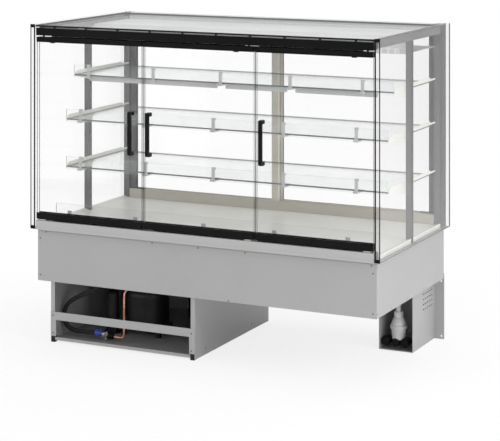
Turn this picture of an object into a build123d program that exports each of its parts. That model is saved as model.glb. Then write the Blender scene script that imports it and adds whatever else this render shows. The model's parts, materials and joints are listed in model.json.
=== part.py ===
from build123d import *
import os

# A refrigerated glass merchandiser that drops into a counter, in millimetres.
# X runs along the front, Y from the customer's side to the server's side, Z up from the floor.
# The origin is under the middle of the whole case, so the floor is Z = 0.

# Overall sizes
case_width = 1500
case_depth = 766
glass_height = 817
rim_height = 455
rim_thickness = 10
handle_reach = 26
seat = 0.3
edge_radius = 2

# Glazing
pane = 4
side_cavity = 14
spacer_width = 12
spacer_inset = 2
top_glass_thickness = 8
top_glass_drop = 2
top_glass_inset = 2
glass_arris = 1
cap_height = 13
cap_thickness = 3

# Cold tub, counter rim and front sill
tub_height = 200
tub_inset_side = 21.7
tub_inset_front = 21
tub_inset_back = 14
tub_wall = 30
tub_corner = 12
rim_lap = 10
rim_front_lap = 33
flange_step = 1
sill_height = 45
sill_depth = 45
sill_sheet = 2
sill_margin = 3
drain_radius = 16

# Front header and its pads
header_height = 30
header_depth = 35
header_drop = 4
header_margin = 4
header_flange = 4
header_toe = 6
header_recess = 9
skirt_sheet = 3
skirt_gap = 1
skirt_inset = 54
pad_pitch = 144
pad_count = 10
pad_size = 10

# Front doors
door_count = 3
door_gap = 5
door_side_gap = 6
door_bottom_lift = 40
door_rail_height = 26
door_top_rail_height = 20
door_thickness = 28
door_cavity = 12
door_glass_inset = 4
door_glass_depth = 10
door_spacer_width = 8
header_slit = 6
pivot_inset = 26
pivot_radius = 4
pivot_clearance = 0.05
pivot_bite = 8
pivot_end_gap = 2
pivot_seat = 6
pivot_block_length = 27
pivot_block_depth = 20
catch_length = 20
catch_drop = 3
catch_inset = 74
handle_length = 170
handle_width = 15
handle_grip = 10
handle_foot = 14
handle_bottom = 779
handle_bevel = 6
handle_inset_left_door = 41
handle_inset_right_door = 33

# Frame inside the glass
upright_width = 22
upright_depth = 24
upright_wall = 2
upright_setback = 380
slot_pitch = 34
slot_count = 20
slot_height = 14
slot_width = 4
post_width = 28
post_setback = 713
post_wall = 2
side_rail_width = 20
side_rail_height = 30

# Shelves
shelf_levels = [673, 867, 1042]
shelf_setbacks = [200, 200, 262]
shelf_back = 655
shelf_glass_thickness = 6
shelf_side_gap = 0.3
shelf_corner = 3
bracket_sheet = 2.4
bracket_flange = 20
bracket_drop = 27
bracket_rise = 14
bracket_nose = 20
bracket_heel = 16
tongue_height = 7
lip_thickness = 4
lip_height = 50
lip_drop = 5
clip_pitch = 303
clip_count = 5
clip_shift = -29
clip_width = 14
clip_sheet = 2.4
clip_reach = 44
clip_foot_width = 24
clip_foot_depth = 16
clip_hook = 6
clip_knob_width = 19
clip_knob_height = 8
clip_knob_depth = 10
profile_height = 19
profile_depth = 20
profile_end_gap = 70
profile_nib = 8
profile_notch_gap = 1
profile_breaks = [2, 3]
profile_break_width = 40

# Deck over the tub
deck_rise = 11
deck_sheet = 2
deck_plate_count = 4
deck_plate_gap = 0.6
deck_front = 112
grille_front = 47
grille_rise = 8
grille_slot_pitch = 24
grille_slot_width = 8
grille_slot_length = 44
deck_lip_height = 75
deck_clip_height = 49
deck_clip_width = 18
deck_clip_foot = 30
side_strip_rise = 18
side_strip_sheet = 2

# Canopy under the top glass
canopy_bottom = 1180
canopy_height = 64
canopy_front_height = 20
canopy_slope = 46
canopy_sheet = 2
lamp_depth = 12
lamp_end_gap = 26
lamp_bevel = 3

# Sliding doors at the back
track_front_gap = 0.3
track_depth = 48
track_lower_height = 50
track_upper_height = 37
groove_width = 17
groove_depth = 9.7
groove_inset = 5
sliding_thickness = 16
sliding_overlap = 20
sliding_stile = 30
sliding_rail = 12
sliding_pane = 8
sliding_travel = 650
sliding_lift = 0.3
sliding_top_gap = 3
pull_width = 18
pull_height = 120
pull_depth = 8

# Evaporator and its fans in the tub
coil_length = 1100
coil_depth = 170
coil_height = 120
coil_front = 250
coil_fin_pitch = 22
coil_fin_gap = 14
coil_fin_cut = 12
coil_foot = 15
coil_leg = 20
coil_leg_inset = 20
coil_fin_margin = 4
fan_plate_setback = 180
fan_plate_sheet = 3
fan_spacing = 560
fan_hole_radius = 66
fan_radius = 60
fan_hub_radius = 18
fan_hub_length = 22
fan_blade_count = 5
fan_blade_sheet = 2.5
fan_blade_pitch = 32
fan_shaft_radius = 4
fan_motor_radius = 26
fan_motor_length = 34
fan_arm = 8
fan_arm_sheet = 3
fan_arm_lap = 6
fan_lift = 12
fan_setback = 3
fan_motor_gap = 3
fan_root_chord = 0.9
fan_tip_chord = 1.6
fan_twist = 14
fan_blade_sink = 2

# Machine box under the left side
unit_left = 73
unit_width = 645
unit_front = 40
unit_depth = 667
unit_sheet = 2
unit_tray_lift = 8
unit_tray_lip = 12
unit_skirt = 6
unit_seam = 1
unit_post = 16
unit_bar_bottom = 89
unit_bar_height = 32
unit_leg = 24
unit_foot_height = 24
unit_foot_size = 17
unit_back_section = 52
unit_louvre_count = 9
unit_louvre_pitch = 18
unit_louvre_length = 240
unit_louvre_height = 7

# Condensing set
compressor_x = 300
compressor_y = 250
compressor_radius_x = 92
compressor_radius_y = 72
compressor_height = 165
compressor_shoulder = 42
compressor_lift = 34
compressor_base = 4
compressor_base_length = 182
compressor_base_width = 124
compressor_foot = 11
terminal_reach = 14
terminal_lap = 30
terminal_setback = -12
terminal_length = 62
terminal_lift = 20
terminal_height = 75
receiver_x = 168
receiver_y = 200
receiver_radius = 26
receiver_height = 174
receiver_base = 7
receiver_dome = 14
receiver_neck = 6
receiver_shoulder = 5
receiver_crown = 5
condenser_thickness = 66
condenser_width = 300
condenser_height = 196
condenser_right_gap = 14
condenser_back_gap = 20
condenser_fin_pitch = 12
condenser_fin_gap = 7
condenser_fin_cut = 6
condenser_fin_margin = 8
shroud_depth = 30
shroud_hole_radius = 88
shroud_ring = 6
shroud_ring_reach = 10
shroud_sheet = 3
shroud_arm = 6
condenser_fan_reach = 4
condenser_motor_gap = 6
condenser_fan_radius = 80
condenser_hub_radius = 24
condenser_hub_length = 16
valve_inset_x = 214
valve_inset_y = 92
valve_z = 46
valve_inlet_length = 28
valve_inlet_radius = 13
valve_body_back = 6
valve_body_front = 14
valve_body_radius = 17
valve_outlet_length = 30
valve_outlet_radius = 9
valve_stalk_radius = 6

# Bends of the suction hose and the liquid pipe, from the machine box's front left corner and the floor
hose_radius = 11
hose_bend = 24
hose_inset_x = 186
hose_inset_y = 150
hose_bends = [
    (hose_inset_x, hose_inset_y, 208),
    (82, 112, 166),
    (52, 96, 104),
    (78, valve_inset_y, valve_z),
]
pipe_radius = 4
pipe_bend = 14
pipe_inset_x = 276
pipe_bends = [(pipe_inset_x, valve_inset_y, valve_z), (pipe_inset_x, valve_inset_y, 214)]
pipe_end = (288, 162, 220)

# Control box under the right side
control_left = 1296
control_width = 142
control_front = 505
control_depth = 247
control_sheet = 2
control_flange = 42
control_flange_rise = 20
vent_rows = 5
vent_columns = 5
vent_pitch_y = 24
vent_pitch_z = 20
vent_length = 13
vent_height = 5
vent_margin_y = 30
vent_margin_z = 22
bolt_radius = 3.5
bolt_inset = 12
trap_setback = 64
gland_count = 3
gland_pitch = 43
gland_inset_x = 28
gland_inset_y = 34
gland_step_y = 4
gland_radius = 16
gland_nut_height = 15
gland_stem_radius = 13
gland_height = 34

# Bottle trap, as pairs of a radius and a drop below the tub, from its top flange down to the cup
trap_outline = [
    (20, 0),
    (20, 3),
    (12, 3),
    (12, 14),
    (18, 14),
    (18, 30),
    (25, 62),
    (30, 64),
    (30, 74),
    (25, 76),
    (22, 124),
    (16, 130),
]

# Places worked out from the sizes above
half = case_width / 2
front = handle_reach / 2 - case_depth / 2
back = front + case_depth
glass_top = rim_height + glass_height
side_unit = 2 * pane + side_cavity
inner_half = half - side_unit
tub_top = rim_height - rim_thickness
tub_bottom = tub_top - tub_height
tub_half = half - tub_inset_side
tub_front = front + tub_inset_front
tub_back = back - tub_inset_back
tub_floor = tub_bottom + tub_wall
opening_half = tub_half - tub_wall - rim_lap
opening_front = tub_front + rim_front_lap
opening_back = tub_back - tub_wall - rim_lap
sill_top = rim_height + sill_height - rim_thickness
top_glass_top = glass_top - top_glass_drop
top_glass_bottom = top_glass_top - top_glass_thickness
header_top = top_glass_bottom - header_drop
header_bottom = header_top - header_height
door_bottom = rim_height + door_bottom_lift
door_top = header_bottom - header_slit
door_width = (2 * inner_half - 2 * door_side_gap - (door_count - 1) * door_gap) / door_count
door_glass_thickness = 2 * pane + door_cavity
door_glass_front = front + door_glass_inset
pivot_y = front + door_thickness / 2
pivot_hole = pivot_radius + pivot_clearance
side_rail_bottom = top_glass_bottom - side_rail_height
upright_face = inner_half - upright_width
post_front = front + post_setback
post_face = inner_half - post_width
bracket_outer = upright_face
bracket_inner = bracket_outer - bracket_sheet
shelf_half = bracket_inner - shelf_side_gap
deck_top = rim_height + deck_rise
deck_back = post_front - seat
track_front = post_front + track_front_gap
track_half = post_face - seat
track_lower_top = rim_height + track_lower_height
track_upper_bottom = top_glass_bottom - track_upper_height
fan_height = tub_floor + coil_foot + coil_height / 2 + fan_lift
unit_x0 = unit_left - half
unit_x1 = unit_x0 + unit_width
unit_y0 = front + unit_front
unit_y1 = unit_y0 + unit_depth
tray_top = unit_tray_lift + unit_sheet
control_x0 = control_left - half
control_x1 = control_x0 + control_width
control_y0 = front + control_front
control_y1 = control_y0 + control_depth


def block(x, y, z, mode=Mode.ADD):
    """A straight bar or plate between pairs of coordinates, in the part that is being built."""
    with Locations(((x[0] + x[1]) / 2, (y[0] + y[1]) / 2, (z[0] + z[1]) / 2)):
        Box(x[1] - x[0], y[1] - y[0], z[1] - z[0], mode=mode)


def rod(radius, start, end, mode=Mode.ADD):
    """A round bar from one point to another along one axis."""
    line = Vector(*end) - Vector(*start)
    with BuildSketch(Plane(origin=start, z_dir=line)) as circle:
        Circle(radius)
    extrude(circle.sketch, amount=line.length, mode=mode)


def section_x(points, x0, x1, mode=Mode.ADD):
    """A folded or moulded section, given as (y, z) points, run along X."""
    with BuildSketch(Plane(origin=(x0, 0, 0), x_dir=(0, 1, 0), z_dir=(1, 0, 0))) as outline:
        with BuildLine():
            Polyline(*points, close=True)
        make_face()
    extrude(outline.sketch, amount=x1 - x0, mode=mode)


def finish(part, name):
    """Names a finished piece and writes it."""
    part.label = name
    export_step(part, f"parts/{name}.step")


os.makedirs("parts", exist_ok=True)

# Counter rim: the stainless flange around the tub that hangs on the counter's cut-out.
# It is a step thicker outside the tub, and the step's underside is the face that lies on the counter.
with BuildPart() as top_rim:
    flange_z = (tub_top - flange_step, rim_height)
    block((-half, half), (front + sill_sheet + seat, back), flange_z)
    block((-opening_half, opening_half), (opening_front, opening_back), flange_z, Mode.SUBTRACT)
    block(
        (-tub_half - seat, tub_half + seat),
        (tub_front - seat, tub_back + seat),
        (tub_top - flange_step, tub_top),
        Mode.SUBTRACT,
    )
    fillet(top_rim.edges().filter_by(Axis.Z).sort_by(Axis.Y)[-2:], edge_radius)
finish(top_rim.part, "top_rim")

# Insulated tub with its drain hole
drain_x = (control_x0 + control_x1) / 2
drain_y = control_y0 + trap_setback
with BuildPart() as tub_shell:
    block((-tub_half, tub_half), (tub_front, tub_back), (tub_bottom, tub_top))
    block(
        (tub_wall - tub_half, tub_half - tub_wall),
        (tub_front + tub_wall, tub_back - tub_wall),
        (tub_floor, tub_top),
        Mode.SUBTRACT,
    )
    fillet(tub_shell.edges().filter_by(Axis.Z).group_by(SortBy.LENGTH)[0], tub_corner)
    rod(drain_radius, (drain_x, drain_y, tub_bottom), (drain_x, drain_y, tub_floor), Mode.SUBTRACT)
finish(tub_shell.part, "tub_shell")

# Front sill: a folded strip that carries the door pivots
sill_back = front + sill_depth
with BuildPart() as front_sill:
    section_x(
        [
            (front, tub_top),
            (front + sill_sheet, tub_top),
            (front + sill_sheet, sill_top - sill_sheet),
            (sill_back - sill_sheet, sill_top - sill_sheet),
            (sill_back - sill_sheet, rim_height),
            (sill_back, rim_height),
            (sill_back, sill_top),
            (front, sill_top),
        ],
        sill_margin - inner_half,
        inner_half - sill_margin,
    )
finish(front_sill.part, "front_sill")


# Side glazing: two panes each, with a spacer frame between them that widens at the back
# to mask the rear post
def side_panes(side):
    """The inner and the outer pane of the side unit at side -1 or 1."""
    for x0 in (half - pane, inner_half):
        block(sorted((side * x0, side * (x0 + pane))), (front, back), (rim_height, glass_top))


with BuildPart() as side_glass_left:
    side_panes(-1)
finish(side_glass_left.part, "side_glass_left")

with BuildPart() as side_glass_right:
    side_panes(1)
finish(side_glass_right.part, "side_glass_right")

with BuildPart() as side_spacers:
    for side in (-1, 1):
        cavity = sorted((side * (inner_half + pane), side * (half - pane)))
        outer_y = (front + spacer_inset, back - spacer_inset)
        outer_z = (rim_height + spacer_inset, glass_top - spacer_inset)
        block(cavity, outer_y, outer_z)
        block(
            cavity,
            (outer_y[0] + spacer_width, post_front),
            (outer_z[0] + spacer_width, outer_z[1] - spacer_width),
            Mode.SUBTRACT,
        )
finish(side_spacers.part, "side_spacers")

# Black end caps on the front corners of the side glazing
with BuildPart() as corner_caps:
    for side in (-1, 1):
        for z0 in (rim_height, glass_top - cap_height):
            cap_x = sorted((side * inner_half, side * half))
            block(cap_x, (front - cap_thickness, front), (z0, z0 + cap_height))
    fillet(corner_caps.edges().filter_by(Axis.Z).group_by(Axis.Y)[0], edge_radius)
finish(corner_caps.part, "corner_caps")

# Top glass, which rests on the header pads, the side rails and the rear track
with BuildPart() as glass_top_pane:
    block(
        (seat - inner_half, inner_half - seat),
        (front + top_glass_inset, post_front - seat),
        (top_glass_bottom, top_glass_top),
    )
    chamfer(glass_top_pane.edges().filter_by(Axis.X).group_by(Axis.Z)[-1], glass_arris)
finish(glass_top_pane.part, "glass_top")

with BuildPart() as side_rails:
    for side in (-1, 1):
        rail_y = (front + header_depth + seat, post_front)
        block(
            sorted((side * (inner_half - side_rail_width), side * inner_half)),
            rail_y,
            (side_rail_bottom, top_glass_bottom),
        )
    chamfer(side_rails.edges().filter_by(Axis.Y).group_by(Axis.Z)[0], edge_radius)
finish(side_rails.part, "side_rails")

# Header over the doors, with a lamp channel behind and bores for the top pivots
door_left_edges = [door_side_gap - inner_half + n * (door_width + door_gap) for n in range(door_count)]
hinge_left = [True, False, False]
pivot_xs = [
    left_edge + (pivot_inset if left else door_width - pivot_inset)
    for left_edge, left in zip(door_left_edges, hinge_left)
]
header_half = inner_half - header_margin
with BuildPart() as front_header:
    section_x(
        [
            (front, header_bottom),
            (front + header_depth, header_bottom),
            (front + header_depth, header_bottom + header_toe),
            (front + header_depth - header_recess, header_bottom + 2 * header_toe),
            (front + header_depth - header_recess, header_top - header_flange),
            (front + header_depth, header_top - header_flange),
            (front + header_depth, header_top),
            (front, header_top),
        ],
        -header_half,
        header_half,
    )
    skirt_half = header_half - skirt_inset
    skirt_y = (front + header_depth - skirt_sheet, front + header_depth)
    block((-skirt_half, skirt_half), skirt_y, (door_top + skirt_gap, header_bottom))
    bore_top = header_bottom + pivot_bite + pivot_end_gap
    for x in pivot_xs:
        rod(pivot_hole, (x, pivot_y, header_bottom), (x, pivot_y, bore_top), Mode.SUBTRACT)
finish(front_header.part, "front_header")

with BuildPart() as header_pads:
    pad_middle = front + header_depth / 2
    with Locations((0, pad_middle, header_top)):
        with GridLocations(pad_pitch, 1, pad_count, 1):
            Cylinder(pad_size / 2, header_drop, align=(Align.CENTER, Align.CENTER, Align.MIN))
finish(header_pads.part, "header_pads")

# Nylon blocks on the sill that carry the bottom pivots
with BuildPart() as pivot_blocks:
    for x in pivot_xs:
        block(
            (x - pivot_block_length / 2, x + pivot_block_length / 2),
            (pivot_y - pivot_block_depth / 2, pivot_y + pivot_block_depth / 2),
            (sill_top, door_bottom - seat),
        )
        rod(pivot_hole, (x, pivot_y, sill_top), (x, pivot_y, door_bottom), Mode.SUBTRACT)
finish(pivot_blocks.part, "pivot_blocks")


# Front doors: double glass with clear edge spacers between two black rails, with pivot pins
# and a bow handle
def door_rail(x0, x1, z0, z1, slot_from_top):
    """A rail with a slot that the glass stands in."""
    block((x0, x1), (front, front + door_thickness), (z0, z1))
    slot_z = (z1 - door_glass_depth, z1) if slot_from_top else (z0, z0 + door_glass_depth)
    block((x0, x1), (door_glass_front, door_glass_front + door_glass_thickness), slot_z, Mode.SUBTRACT)


door_rail_top = door_bottom + door_rail_height
door_top_rail_bottom = door_top - door_top_rail_height
glass_z = (door_rail_top - door_glass_depth, door_top_rail_bottom + door_glass_depth)
for number, (left_edge, left) in enumerate(zip(door_left_edges, hinge_left), start=1):
    right_edge = left_edge + door_width
    pivot_x = pivot_xs[number - 1]
    free_side = 1 if left else -1
    cavity_y = (door_glass_front + pane, door_glass_front + pane + door_cavity)

    with BuildPart() as door_glass:
        block((left_edge, right_edge), (door_glass_front, cavity_y[0]), glass_z)
        block((left_edge, right_edge), (cavity_y[1], door_glass_front + door_glass_thickness), glass_z)
        for x0 in (left_edge, right_edge - door_spacer_width):
            block((x0, x0 + door_spacer_width), cavity_y, glass_z)
    finish(door_glass.part, f"door_{number}_glass")

    with BuildPart() as door_rails:
        door_rail(left_edge, right_edge, door_bottom, door_rail_top, True)
        door_rail(left_edge, right_edge, door_top_rail_bottom, door_top, False)
        for start, end in ((door_bottom, sill_top + seat), (door_top, header_bottom + pivot_bite)):
            outward = 1 if end > start else -1
            bore_end = start - outward * pivot_seat
            rod(pivot_hole, (pivot_x, pivot_y, start), (pivot_x, pivot_y, bore_end), Mode.SUBTRACT)
            rod(pivot_radius, (pivot_x, pivot_y, bore_end + outward * seat), (pivot_x, pivot_y, end))
        catch_x = (left_edge if left else right_edge) - (-1 if left else 1) * catch_inset
        block(
            (catch_x - catch_length / 2, catch_x + catch_length / 2),
            (front, door_glass_front),
            (door_top_rail_bottom - catch_drop, door_top_rail_bottom),
        )
    finish(door_rails.part, f"door_{number}_rails")

    inset = handle_inset_left_door if left else handle_inset_right_door
    handle_x = (right_edge if left else left_edge) - free_side * inset
    with BuildPart() as door_handle:
        reach = front - handle_reach
        handle_top = handle_bottom + handle_length
        with BuildSketch(Plane.YZ.offset(handle_x - handle_width / 2)) as bow:
            with BuildLine():
                Polyline(
                    (door_glass_front, handle_bottom),
                    (reach + handle_bevel, handle_bottom),
                    (reach, handle_bottom + handle_bevel),
                    (reach, handle_top - handle_bevel),
                    (reach + handle_bevel, handle_top),
                    (door_glass_front, handle_top),
                    (door_glass_front, handle_top - handle_foot),
                    (reach + handle_grip, handle_top - handle_foot),
                    (reach + handle_grip, handle_bottom + handle_foot),
                    (door_glass_front, handle_bottom + handle_foot),
                    close=True,
                )
            make_face()
        extrude(amount=handle_width)
        fillet(door_handle.edges().filter_by(Axis.Z).group_by(Axis.Y)[0], edge_radius)
    finish(door_handle.part, f"door_{number}_handle")

# Slotted uprights that carry the shelves, and the rear corner posts
with BuildPart() as uprights:
    for side in (-1, 1):
        upright_y = (front + upright_setback, front + upright_setback + upright_depth)
        face = side * upright_face
        block(sorted((face, side * inner_half)), upright_y, (rim_height, side_rail_bottom))
        block(
            sorted((side * (upright_face + upright_wall), side * inner_half)),
            (upright_y[0] + upright_wall, upright_y[1] - upright_wall),
            (rim_height, side_rail_bottom),
            Mode.SUBTRACT,
        )
        slot_middle = (rim_height + side_rail_bottom) / 2
        for n in range(slot_count):
            z = slot_middle + (n - (slot_count - 1) / 2) * slot_pitch
            block(
                sorted((face, side * (upright_face + upright_wall))),
                (sum(upright_y) / 2 - slot_width / 2, sum(upright_y) / 2 + slot_width / 2),
                (z - slot_height / 2, z + slot_height / 2),
                Mode.SUBTRACT,
            )
finish(uprights.part, "uprights")

with BuildPart() as rear_posts:
    for side in (-1, 1):
        face = side * post_face
        block(sorted((face, side * inner_half)), (post_front, back), (rim_height, top_glass_top))
        block(
            sorted((side * (post_face + post_wall), side * inner_half)),
            (post_front + post_wall, back - post_wall),
            (rim_height, top_glass_top - post_wall),
            Mode.SUBTRACT,
        )
finish(rear_posts.part, "rear_posts")


# Shelves: a glass plate on two tapered side brackets
def shelf_bracket(side, setback, glass_bottom):
    """One side bracket: a gusset before the upright, an upstand beside the glass, a flange under it."""
    plate_top = glass_bottom + shelf_glass_thickness + bracket_rise
    nose = front + setback
    post_start = front + upright_setback
    post_end = post_start + upright_depth
    with BuildSketch(Plane.YZ.offset(bracket_inner if side > 0 else -bracket_outer)) as outline:
        with BuildLine():
            Polyline(
                (nose, glass_bottom - seat),
                (nose, plate_top - bracket_rise),
                (nose + bracket_nose, plate_top),
                (front + shelf_back, plate_top),
                (front + shelf_back, glass_bottom + shelf_glass_thickness + tongue_height),
                (post_front, glass_bottom + shelf_glass_thickness + tongue_height),
                (post_front, glass_bottom + shelf_glass_thickness),
                (post_end + bracket_heel, glass_bottom + shelf_glass_thickness),
                (post_end, glass_bottom - bracket_drop),
                (post_start, glass_bottom - bracket_drop),
                close=True,
            )
        make_face()
    extrude(outline.sketch, amount=bracket_sheet)
    flange = sorted((side * (bracket_outer - bracket_flange), side * bracket_inner))
    flange_start = nose + clip_reach + clip_foot_depth
    block(flange, (flange_start, post_end), (glass_bottom - clip_sheet, glass_bottom))


for number, (level, setback) in enumerate(zip(shelf_levels, shelf_setbacks), start=1):
    with BuildPart() as shelf_glass:
        glass_y = (front + setback, front + shelf_back)
        block((-shelf_half, shelf_half), glass_y, (level, level + shelf_glass_thickness))
        fillet(shelf_glass.edges().filter_by(Axis.Z), shelf_corner)
    finish(shelf_glass.part, f"shelf_{number}_glass")

    with BuildPart() as shelf_brackets:
        for side in (-1, 1):
            shelf_bracket(side, setback, level)
    finish(shelf_brackets.part, f"shelf_{number}_brackets")

clip_xs = [clip_shift + (n - (clip_count - 1) / 2) * clip_pitch for n in range(clip_count)]
with BuildPart() as shelf_lips:
    for level, setback in zip(shelf_levels, shelf_setbacks):
        edge = front + setback - seat
        lip_z = (level - lip_drop, level - lip_drop + lip_height)
        block((-shelf_half, shelf_half), (edge - lip_thickness, edge), lip_z)
finish(shelf_lips.part, "shelf_lips")


def lip_clip(x, setback, level):
    """A clip that hooks over the lip and reaches back under the glass to a small foot."""
    lip_back = front + setback - seat
    lip_front = lip_back - lip_thickness
    lip_top = level - lip_drop + lip_height
    arm_z = (level - lip_drop - clip_sheet, level - lip_drop)
    with BuildSketch(Plane.YZ.offset(x - clip_width / 2)) as outline:
        with BuildLine():
            Polyline(
                (lip_back + clip_sheet, lip_top + clip_sheet),
                (lip_front - clip_sheet, lip_top + clip_sheet),
                (lip_front - clip_sheet, arm_z[0]),
                (lip_back + clip_reach, arm_z[0]),
                (lip_back + clip_reach, arm_z[1]),
                (lip_front, arm_z[1]),
                (lip_front, lip_top),
                (lip_back, lip_top),
                (lip_back, lip_top - clip_hook),
                (lip_back + clip_sheet, lip_top - clip_hook),
                close=True,
            )
        make_face()
    extrude(outline.sketch, amount=clip_width)
    foot_y = (lip_back + clip_reach - clip_foot_depth, lip_back + clip_reach)
    block((x - clip_foot_width / 2, x + clip_foot_width / 2), foot_y, (arm_z[1], level))
    knob_y = (lip_front - clip_sheet - clip_knob_depth, lip_front - clip_sheet)
    knob_z = (arm_z[0], arm_z[0] + clip_knob_height)
    block((x - clip_knob_width / 2, x + clip_knob_width / 2), knob_y, knob_z)


def deck_clip(x):
    """A clip that holds the deck lip down: a strip in front of it and a stub angle behind it."""
    strip_x = (x - deck_clip_width / 2, x + deck_clip_width / 2)
    lip_front = front + deck_front
    lip_back = lip_front + lip_thickness
    strip_z = (rim_height + grille_rise + seat, deck_top + deck_clip_height)
    block(strip_x, (lip_front - clip_sheet, lip_front), strip_z)
    block(strip_x, (lip_back, lip_back + clip_sheet), (deck_top, deck_top + deck_clip_height / 2))
    block(strip_x, (lip_back + clip_sheet, lip_back + deck_clip_foot), (deck_top, deck_top + clip_sheet))


with BuildPart() as lip_clips:
    for x in clip_xs:
        for level, setback in zip(shelf_levels, shelf_setbacks):
            lip_clip(x, setback, level)
        deck_clip(x)
finish(lip_clips.part, "lip_clips")

# Lamp profile under the front edge of the top shelf, notched where clips pass and broken at two of them
profile_level = shelf_levels[-1]
profile_y0 = front + shelf_setbacks[-1]
with BuildPart() as shelf_profile:
    section_x(
        [
            (profile_y0, profile_level - profile_height),
            (profile_y0, profile_level),
            (profile_y0 + profile_depth, profile_level),
            (profile_y0 + profile_depth, profile_level - profile_nib),
            (profile_y0 + profile_nib, profile_level - profile_height),
        ],
        profile_end_gap - shelf_half,
        shelf_half - profile_end_gap,
    )
    for n, x in enumerate(clip_xs):
        notch = clip_width / 2 + profile_notch_gap
        notch_depth = lip_drop + clip_sheet + profile_notch_gap
        if n in profile_breaks:
            notch = profile_break_width / 2
            notch_depth = profile_height
        block(
            (x - notch, x + notch),
            (profile_y0, profile_y0 + profile_depth),
            (profile_level - notch_depth, profile_level),
            Mode.SUBTRACT,
        )
finish(shelf_profile.part, "shelf_profile")

# Deck plates over the tub with raised strips at both sides, and the air grille in front of them
deck_half = inner_half - post_width
plate_width = (2 * deck_half - (deck_plate_count - 1) * deck_plate_gap) / deck_plate_count
with BuildPart() as deck_plates:
    for n in range(deck_plate_count):
        x0 = -deck_half + n * (plate_width + deck_plate_gap)
        plate_y = (front + deck_front, deck_back)
        block((x0, x0 + plate_width), plate_y, (rim_height, deck_top))
        block(
            (x0 + deck_sheet, x0 + plate_width - deck_sheet),
            (plate_y[0] + deck_sheet, plate_y[1] - deck_sheet),
            (rim_height, deck_top - deck_sheet),
            Mode.SUBTRACT,
        )
    for side in (-1, 1):
        strip_y0 = front + sill_depth + seat
        strip_y1 = front + upright_setback - seat
        for y0, y1 in ((strip_y0, strip_y1), (strip_y1 + upright_depth + 2 * seat, post_front - seat)):
            with BuildSketch(Plane.XZ.offset(-y1)) as outline:
                with BuildLine():
                    Polyline(
                        (side * (deck_half + seat), rim_height),
                        (side * (deck_half + seat), deck_top),
                        (side * (inner_half - seat), rim_height + side_strip_rise),
                        (side * (inner_half - seat), rim_height),
                        close=True,
                    )
                make_face()
            extrude(outline.sketch, amount=y1 - y0)
finish(deck_plates.part, "deck_plates")

with BuildPart() as return_grille:
    grille_y = (front + grille_front, front + deck_front - seat)
    grille_z = (rim_height, rim_height + grille_rise)
    block((-deck_half, deck_half), grille_y, grille_z)
    block(
        (deck_sheet - deck_half, deck_half - deck_sheet),
        (grille_y[0] + deck_sheet, grille_y[1] - deck_sheet),
        (rim_height, rim_height + grille_rise - deck_sheet),
        Mode.SUBTRACT,
    )
    slots = int((2 * deck_half - 2 * grille_slot_pitch) / grille_slot_pitch)
    with BuildSketch(Plane.XY.offset(rim_height)) as slot_rows:
        with Locations((0, (grille_y[0] + grille_y[1]) / 2)):
            with GridLocations(grille_slot_pitch, 1, slots, 1):
                Rectangle(grille_slot_width, grille_slot_length)
    extrude(amount=grille_rise, mode=Mode.SUBTRACT)
finish(return_grille.part, "return_grille")

with BuildPart() as deck_lip:
    lip_y = (front + deck_front, front + deck_front + lip_thickness)
    block((-deck_half, deck_half), lip_y, (deck_top, deck_top + deck_lip_height))
finish(deck_lip.part, "deck_lip")

# Canopy between the uprights and the rear posts, with a lamp along its front edge
canopy_front = front + upright_setback
canopy_half = upright_face - seat
canopy_z1 = canopy_bottom + canopy_height
with BuildPart() as canopy:
    section_x(
        [
            (canopy_front, canopy_bottom),
            (canopy_front, canopy_bottom + canopy_front_height),
            (canopy_front + canopy_slope, canopy_z1),
            (post_front, canopy_z1),
            (post_front, canopy_z1 - canopy_sheet),
            (canopy_front + canopy_slope, canopy_z1 - canopy_sheet),
            (canopy_front + canopy_sheet, canopy_bottom + canopy_front_height - canopy_sheet / 2),
            (canopy_front + canopy_sheet, canopy_bottom + canopy_sheet),
            (post_front, canopy_bottom + canopy_sheet),
            (post_front, canopy_bottom),
        ],
        -canopy_half,
        canopy_half,
    )
finish(canopy.part, "canopy")

with BuildPart() as canopy_lamp:
    lamp_half = canopy_half - lamp_end_gap
    block(
        (-lamp_half, lamp_half),
        (canopy_front - lamp_depth, canopy_front - seat),
        (canopy_bottom, canopy_bottom + canopy_front_height),
    )
    chamfer(canopy_lamp.edges().filter_by(Axis.X).group_by(Axis.Y)[0], lamp_bevel)
finish(canopy_lamp.part, "canopy_lamp")

# Rear tracks and the two sliding doors
groove_starts = [track_front + groove_inset, track_front + track_depth - groove_inset - groove_width]
with BuildPart() as rear_tracks:
    track_y = (track_front, track_front + track_depth)
    block((-track_half, track_half), track_y, (rim_height, track_lower_top))
    block((-track_half, track_half), track_y, (track_upper_bottom, top_glass_top))
    for y0 in groove_starts:
        for z0 in (track_lower_top - groove_depth, track_upper_bottom):
            groove_x = (-track_half, track_half)
            block(groove_x, (y0, y0 + groove_width), (z0, z0 + groove_depth), Mode.SUBTRACT)
finish(rear_tracks.part, "rear_tracks")

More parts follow.
